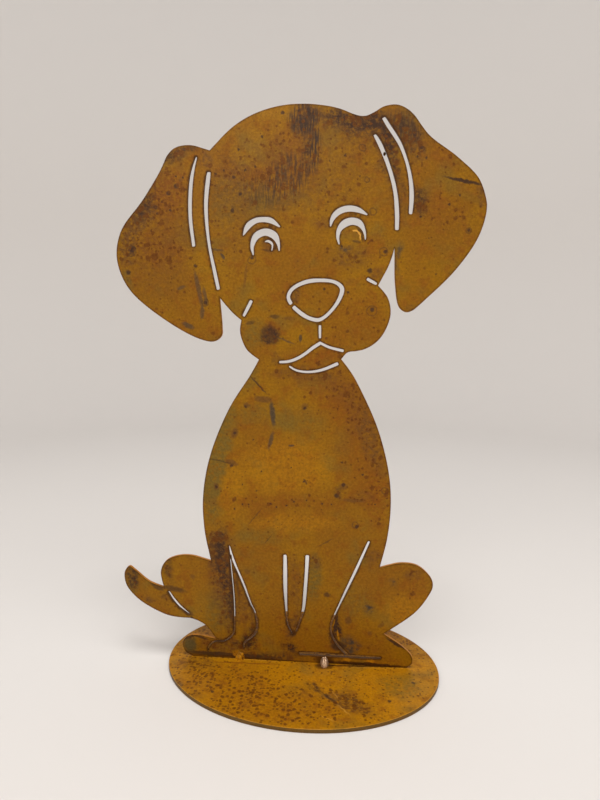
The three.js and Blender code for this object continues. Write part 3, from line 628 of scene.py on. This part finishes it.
class Paint:
    """A material's nodes, made by short calls in the order in which they are worked out."""

    def __init__(self, name):
        self.material = bpy.data.materials.new(name)
        self.material.use_nodes = True
        self.tree = self.material.node_tree
        self.tree.nodes.clear()
        source = self.node("ShaderNodeTexCoord")
        self.place = self.vector("MULTIPLY", source.outputs["Object"], (1 / MM,) * 3)
        self.normal = source.outputs["Normal"]

    def node(self, kind, inputs=None, **settings):
        made = self.tree.nodes.new(kind)
        for key, value in settings.items():
            setattr(made, key, value)
        for key, value in (inputs or {}).items():
            self.feed(made.inputs[key], value)
        return made

    def feed(self, socket, value):
        if isinstance(value, bpy.types.NodeSocket):
            self.tree.links.new(value, socket)
        else:
            socket.default_value = value

    def math(self, operation, a, b=0.0, clamp=False):
        return self.node("ShaderNodeMath", {0: a, 1: b}, operation=operation, use_clamp=clamp).outputs[0]

    def vector(self, operation, a, b):
        return self.node("ShaderNodeVectorMath", {0: a, 1: b}, operation=operation).outputs["Vector"]

    def split(self, vector):
        return self.node("ShaderNodeSeparateXYZ", {0: vector}).outputs

    def join(self, x, y, z):
        return self.node("ShaderNodeCombineXYZ", {0: x, 1: y, 2: z}).outputs[0]

    def noise(self, place, size, detail=3.0, rough=0.55, output="Fac"):
        """Cloudy noise with features of about size mm."""
        inputs = {"Vector": place, "Scale": 1 / size, "Detail": detail, "Roughness": rough}
        return self.node("ShaderNodeTexNoise", inputs).outputs[output]

    def cells(self, place, size):
        """Points strewn about size mm apart: the distance to the nearest, in sizes, and its own chance."""
        made = self.node("ShaderNodeTexVoronoi", {"Vector": place, "Scale": 1 / size})
        return made.outputs["Distance"], self.split(made.outputs["Color"])[0]

    def attribute(self, name):
        """A point attribute of the mesh."""
        return self.node("ShaderNodeAttribute", attribute_name=name).outputs["Fac"]

    def ramp(self, value, start, end, low=0.0, high=1.0):
        """A smooth step from low at start to high at end."""
        inputs = {"Value": value, "From Min": start, "From Max": end, "To Min": low, "To Max": high}
        return self.node("ShaderNodeMapRange", inputs, interpolation_type="SMOOTHSTEP").outputs[0]

    def mix(self, a, b, amount):
        inputs = {"Factor": amount, 6: self.colour(a), 7: self.colour(b)}
        return self.node("ShaderNodeMix", inputs, data_type="RGBA").outputs[2]

    def shade(self, colour, amount):
        """The colour times a grey amount."""
        inputs = {0: 1.0, 6: colour, 7: amount}
        return self.node("ShaderNodeMix", inputs, data_type="RGBA", blend_type="MULTIPLY").outputs[2]

    def colour(self, value):
        return value if isinstance(value, bpy.types.NodeSocket) else (*linear(PATINA[value]), 1)

    def along(self, flat, way, x, y, length):
        """How far a flat point is from (x, y) in the direction way, in lengths."""
        cos, sin = math.cos(way) / length, math.sin(way) / length
        inputs = {0: flat, 1: (cos, sin, -x * cos - y * sin)}
        return self.node("ShaderNodeVectorMath", inputs, operation="DOT_PRODUCT").outputs["Value"]

    def lines(self, flat, lines):
        """Narrow ellipses with a crisp edge, all of one kind together."""
        total = 0.0
        for x, y, length, width, turn, amount in lines:
            way = math.radians(turn)
            u = self.along(flat, way, x, y, length)
            v = self.along(flat, way + math.pi / 2, x, y, width)
            away = self.math("ADD", self.math("MULTIPLY", u, u), self.math("MULTIPLY", v, v))
            total = self.math("ADD", self.ramp(away, *LINE_EDGE, amount, 0.0), total)
        return total

    def spots(self, flat, spots, width=None):
        """Round spots, or rings of that width."""
        total = 0.0
        for x, y, radius in spots:
            away = self.node("ShaderNodeVectorMath", {0: flat, 1: (x, y, 1)}, operation="DISTANCE")
            away = away.outputs["Value"]
            if width:
                away = self.math("ABSOLUTE", self.math("SUBTRACT", away, radius))
                radius = width
            start, end = (part * radius for part in SPOT_EDGE)
            total = self.math("ADD", self.ramp(away, start, end, 1.0, 0.0), total)
        return total

    def finish(self, colour, rough, height, depth, metal, coat):
        """The shader: colour and roughness from the nodes, and a bump of depth mm."""
        bump = self.node("ShaderNodeBump", {"Height": height, "Strength": 1.0, "Distance": depth * MM})
        shader = self.node("ShaderNodeBsdfPrincipled", {
            "Base Color": colour,
            "Roughness": rough,
            "Normal": bump.outputs[0],
            "Metallic": metal,
            "Specular IOR Level": 0.12,
            "Coat Weight": coat,
            "Coat Roughness": 0.25,
        })
        end = self.node("ShaderNodeOutputMaterial")
        self.tree.links.new(shader.outputs[0], end.inputs[0])
        return self.material


def ground(paint, place, tones, mottle):
    """The patina under all marks: clouds of two tones, with rust and green in patches."""
    colour = paint.mix(*tones, paint.ramp(paint.noise(place, CLOUD), 0.38, 0.62))
    colour = paint.mix(colour, "rust", paint.ramp(mottle, 0.48, 0.68, 0.0, 0.65))
    green = paint.noise(place, GREENING, 4)
    return paint.mix(colour, "olive", paint.ramp(green, 0.52, 0.68, 0.0, 0.55))


def with_soft_marks(paint, colour, place, brush, marks):
    """The colour under the soft marks, which lie on the mesh as attributes, and how worn the sheet is."""
    uneven = paint.ramp(paint.noise(place, MARK_GRAIN, 5, 0.7), 0.34, 0.66, 0.25, 1.5)
    strokes = paint.ramp(paint.noise(brush, 1), 0.38, 0.6, 0.1, 1.3)
    wear = 0.0
    for kind in marks:
        pattern = strokes if kind == "brushed" else uneven
        amount = paint.math("MULTIPLY", paint.attribute(kind), pattern, clamp=True)
        colour = paint.mix(colour, kind, amount)
        if kind in WORN:
            wear = paint.math("ADD", amount, wear)
    return colour, wear


def with_crisp_marks(paint, colour, place, flat, shown, lines, spots, rings):
    """Lines, spots and rings on the shown face, whose edges wander a little."""
    size, reach = WANDER
    wander = paint.vector("SUBTRACT", paint.noise(place, size, 4, 0.6, output="Color"), (0.5, 0.5, 0.5))
    flat = paint.vector("ADD", flat, paint.vector("MULTIPLY", wander, (reach, reach, 0)))
    for kind, kept in lines.items():
        amount = paint.math("MULTIPLY", paint.lines(flat, kept), shown, clamp=True)
        colour = paint.mix(colour, kind, amount)
    for round_marks, width, strength in ((spots, None, 0.85), (rings, RING_WIDTH, 0.45)):
        if round_marks:
            amount = paint.math("MULTIPLY", paint.spots(flat, round_marks, width), shown)
            colour = paint.mix(colour, "dark", paint.math("MULTIPLY", amount, strength, clamp=True))
    return colour


def with_freckles(paint, colour, place, wear, freckles):
    """Freckles of darker rust, bigger where the sheet is worn, and a few wide blots."""
    wear = paint.math("ADD", 0.4, paint.math("MULTIPLY", wear, 1.1))
    for spacing, strength, most in freckles:
        distance, chance = paint.cells(place, spacing)
        reach = paint.math("MULTIPLY", paint.ramp(chance, 0.3, 1.0, 0.0, most), wear)
        reach = paint.math("MINIMUM", reach, BIGGEST_FRECKLE)
        freckle = paint.ramp(paint.math("SUBTRACT", distance, reach), -0.08, 0.08, 1.0, 0.0)
        freckle = paint.math("MULTIPLY", freckle, paint.ramp(reach, 0.03, 0.14, 0.0, strength))
        colour = paint.mix(colour, "freckle", freckle)
    distance, chance = paint.cells(place, BLOT_SPACING)
    reach = paint.ramp(chance, 0.7, 1.0, -0.1, 0.11)
    blot = paint.ramp(paint.math("SUBTRACT", distance, reach), -0.03, 0.03, 1.0, 0.0)
    return paint.mix(colour, "umber", paint.math("MULTIPLY", blot, 0.7))


def with_cut_edges(paint, colour, place, facing, mottle, rim, wall, outlined):
    """The cut edges: scorched beside them, a lip in the rim colour, and walls that are darker in the slots.

    On the base the lip is a painted highlight. The darker walls in the slots are oxidised and painted shade.
    """
    scorched = paint.ramp(paint.noise(place, SCORCH), 0.3, 0.6, 0.35, 1.0)
    hole = paint.attribute("hole")
    near = paint.math("MULTIPLY", paint.ramp(hole, 0.3, 1.0, 0.0, 0.8), scorched)
    colour = paint.mix(colour, "oxide_and_shade", near)
    near = paint.math("MULTIPLY", paint.ramp(paint.attribute("outline"), 0.4, 1.0, 0.0, outlined), scorched)
    colour = paint.mix(colour, "oxide_and_shade", near)
    # the lip in the rim colour: on the base a painted highlight
    lip = paint.math("MULTIPLY", paint.attribute("rim"), paint.ramp(mottle, 0.35, 0.6, 0.4, 0.9))
    colour = paint.mix(colour, rim, lip)
    stain = paint.ramp(paint.noise(paint.place, WALL_STAIN), 0.5, 0.7, 0.0, 0.6)
    # in the slots the walls are darker: oxidised, and painted shade in the narrow cuts
    wall = paint.mix(paint.mix(wall, "umber", stain), "oxide_and_shade", paint.math("MULTIPLY", hole, 0.85))
    cut = paint.ramp(paint.math("ABSOLUTE", facing), 0.8, 0.4)
    return paint.mix(colour, wall, paint.math("MULTIPLY", cut, 0.9))


def rusted_sheet(name, axes, marks, lines, spots, tones, freckles, rim, wall, outlined, rings=()):
    """Rusted sheet steel under a thin clear coat, with its shown face's marks, some painted light and shade.

    tones are its two main colours, rim and wall the colours of its cut edges on their rounded lip and
    below it, and outlined is how dark the face is along the outer edge."""
    paint = Paint(name)
    xyz = paint.split(paint.place)
    along, up = xyz[axes[0]], xyz[axes[1]]
    facing = paint.split(paint.normal)[axes[2]]
    shown = paint.ramp(paint.math("MULTIPLY", facing, shown_side(axes)), -0.2, 0.2)
    flat = paint.join(along, up, 1.0)
    away = paint.math("MULTIPLY", paint.math("SUBTRACT", 1.0, shown), BACK_AWAY)
    place = paint.join(along, up, away)
    brush = paint.join(paint.math("DIVIDE", along, BRUSH[0]), paint.math("DIVIDE", up, BRUSH[1]), away)
    mottle = paint.noise(place, MOTTLE, 5, 0.62)
    grain = paint.noise(place, GRAIN, 3, 0.6)

    colour = ground(paint, place, tones, mottle)
    colour, wear = with_soft_marks(paint, colour, place, brush, marks)
    colour = with_crisp_marks(paint, colour, place, flat, shown, lines, spots, rings)
    colour = with_freckles(paint, colour, place, wear, freckles)
    colour = paint.shade(colour, paint.join(*[paint.ramp(grain, 0.25, 0.75, 0.82, 1.16)] * 3))
    colour = with_cut_edges(paint, colour, place, facing, mottle, rim, wall, outlined)

    rough = paint.ramp(mottle, 0.3, 0.75, 0.34, 0.56)
    height = paint.math("ADD", paint.math("MULTIPLY", grain, 0.5), mottle)
    return paint.finish(colour, rough, height, depth=0.22, metal=0.25, coat=0.03)


def weld_metal():
    """Bright weld metal with straw and brown heat tints."""
    paint = Paint("weld_metal")
    tint = paint.noise(paint.place, 3, 3)
    colour = paint.mix("steel", "heat", paint.ramp(tint, 0.5, 0.74))
    fine = paint.noise(paint.place, 0.7, 3)
    rough = paint.ramp(fine, 0.3, 0.7, 0.14, 0.34)
    return paint.finish(colour, rough, fine, depth=0.08, metal=0.6, coat=0.4)


def weld_rust():
    """A weld bead gone brown."""
    paint = Paint("weld_rust")
    mottle = paint.noise(paint.place, 2.4, 4, 0.6)
    colour = paint.mix("gold", "heat", paint.ramp(mottle, 0.42, 0.66))
    colour = paint.mix(colour, "ochre", paint.ramp(paint.noise(paint.place, 4, 3), 0.5, 0.66, 0.0, 0.7))
    rough = paint.ramp(mottle, 0.3, 0.7, 0.4, 0.65)
    return paint.finish(colour, rough, mottle, depth=0.12, metal=0.15, coat=0.1)


def dress(piece, node, material):
    """The piece stands for a CAD node, rides with the object and takes its finish from a slot."""
    piece.data.materials.append(material)
    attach(piece, "root")
    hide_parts(node)


# Camera and studio

def make_camera():
    camera = bpy.data.objects.new("camera", bpy.data.cameras.new("camera"))
    SCENE.collection.objects.link(camera)
    camera.data.lens = CAMERA_LENS
    camera.data.sensor_width = CAMERA_SENSOR
    turn = Matrix.Rotation(CAMERA_HEADING, 4, "Z")
    turn @= Matrix.Rotation(math.pi / 2 + CAMERA_PITCH, 4, "X")
    turn @= Matrix.Rotation(CAMERA_ROLL, 4, "Z")
    camera.matrix_world = Matrix.Translation(Vector(CAMERA_PLACE) * MM) @ turn
    SCENE.camera = camera


def make_studio():
    """A pale floor that sweeps up into a round wall."""
    profile = [(FLOOR_RADIUS, 0)]
    for i in range(1, SWEEP_STEPS + 1):
        angle = math.pi / 2 * i / SWEEP_STEPS
        out = FLOOR_RADIUS + SWEEP_RADIUS * math.sin(angle)
        profile.append((out, SWEEP_RADIUS * (1 - math.cos(angle))))
    profile.append((FLOOR_RADIUS + SWEEP_RADIUS, WALL_TOP))
    mesh = bmesh.new()
    middle = mesh.verts.new((0, 0, 0))
    ways = [2 * math.pi * i / STUDIO_SEGMENTS for i in range(STUDIO_SEGMENTS)]
    rings = []
    for out, up in profile:
        rings.append([mesh.verts.new(Vector((out * math.cos(w), out * math.sin(w), up)) * MM) for w in ways])
    for i in range(STUDIO_SEGMENTS):
        n = (i + 1) % STUDIO_SEGMENTS
        mesh.faces.new([middle, rings[0][i], rings[0][n]])
        for inner, outer in zip(rings, rings[1:]):
            mesh.faces.new([inner[i], outer[i], outer[n], inner[n]])
    floor = finished("studio_floor", mesh)
    material = bpy.data.materials.new("studio_pale")
    material.use_nodes = True
    shader = material.node_tree.nodes["Principled BSDF"]
    shader.inputs["Base Color"].default_value = (*linear(STUDIO_PALE), 1)
    shader.inputs["Roughness"].default_value = 0.9
    floor.data.materials.append(material)


def make_lights():
    world = bpy.data.worlds.new("sky")
    world.use_nodes = True
    background = world.node_tree.nodes["Background"]
    background.inputs["Color"].default_value = (*linear(SKY), 1)
    background.inputs["Strength"].default_value = SKY_STRENGTH
    SCENE.world = world
    for name, (place, size, power) in LIGHTS.items():
        light = bpy.data.lights.new(name, "AREA")
        light.shape = "DISK"
        light.size = size * MM
        light.energy = power
        holder = bpy.data.objects.new(name, light)
        holder.location = Vector(place) * MM
        holder.rotation_euler = (Vector(place) - Vector(AIM)).to_track_quat("Z", "Y").to_euler()
        SCENE.collection.objects.link(holder)
    SCENE.view_settings.view_transform = "Standard"


make_camera()
# The figure's cut walls take the gold cut colour, lighter than its face and partly a painted highlight.
figure_rust = rusted_sheet(
    "figure_rust", FIGURE_AXES, FIGURE_MARKS, FIGURE_LINES, FIGURE_SPOTS, ("tan", "bronze"),
    FIGURE_FRECKLES, rim="cut_dark", wall="cut", outlined=0.6, rings=FIGURE_RINGS,
)
# The base's lip takes the glint colour, a painted highlight.
base_rust = rusted_sheet(
    "base_rust", BASE_AXES, BASE_MARKS, BASE_LINES, BASE_SPOTS, ("brass", "gold"),
    BASE_FRECKLES, rim="glint", wall="cut_dark", outlined=0.0,
)
puppy = figure_sheet()
lay_marks(puppy, FIGURE_AXES, FIGURE_MARKS)
dress(puppy, "dog_figure", figure_rust)
oval = base_sheet()
lay_marks(oval, BASE_AXES, BASE_MARKS)
dress(oval, "base_plate", base_rust)
drop = bead("weld_drop_front", lumps=0.06, ripples=0.035)
dress(drop, "weld_drop_front", weld_metal())
brown = weld_rust()
for tack in ("weld_tack_front", "weld_tack_back_left", "weld_tack_back_middle", "weld_tack_back_right"):
    dress(bead(tack, lumps=0.3, ripples=0.03), tack, brown)
make_studio()
make_lights()
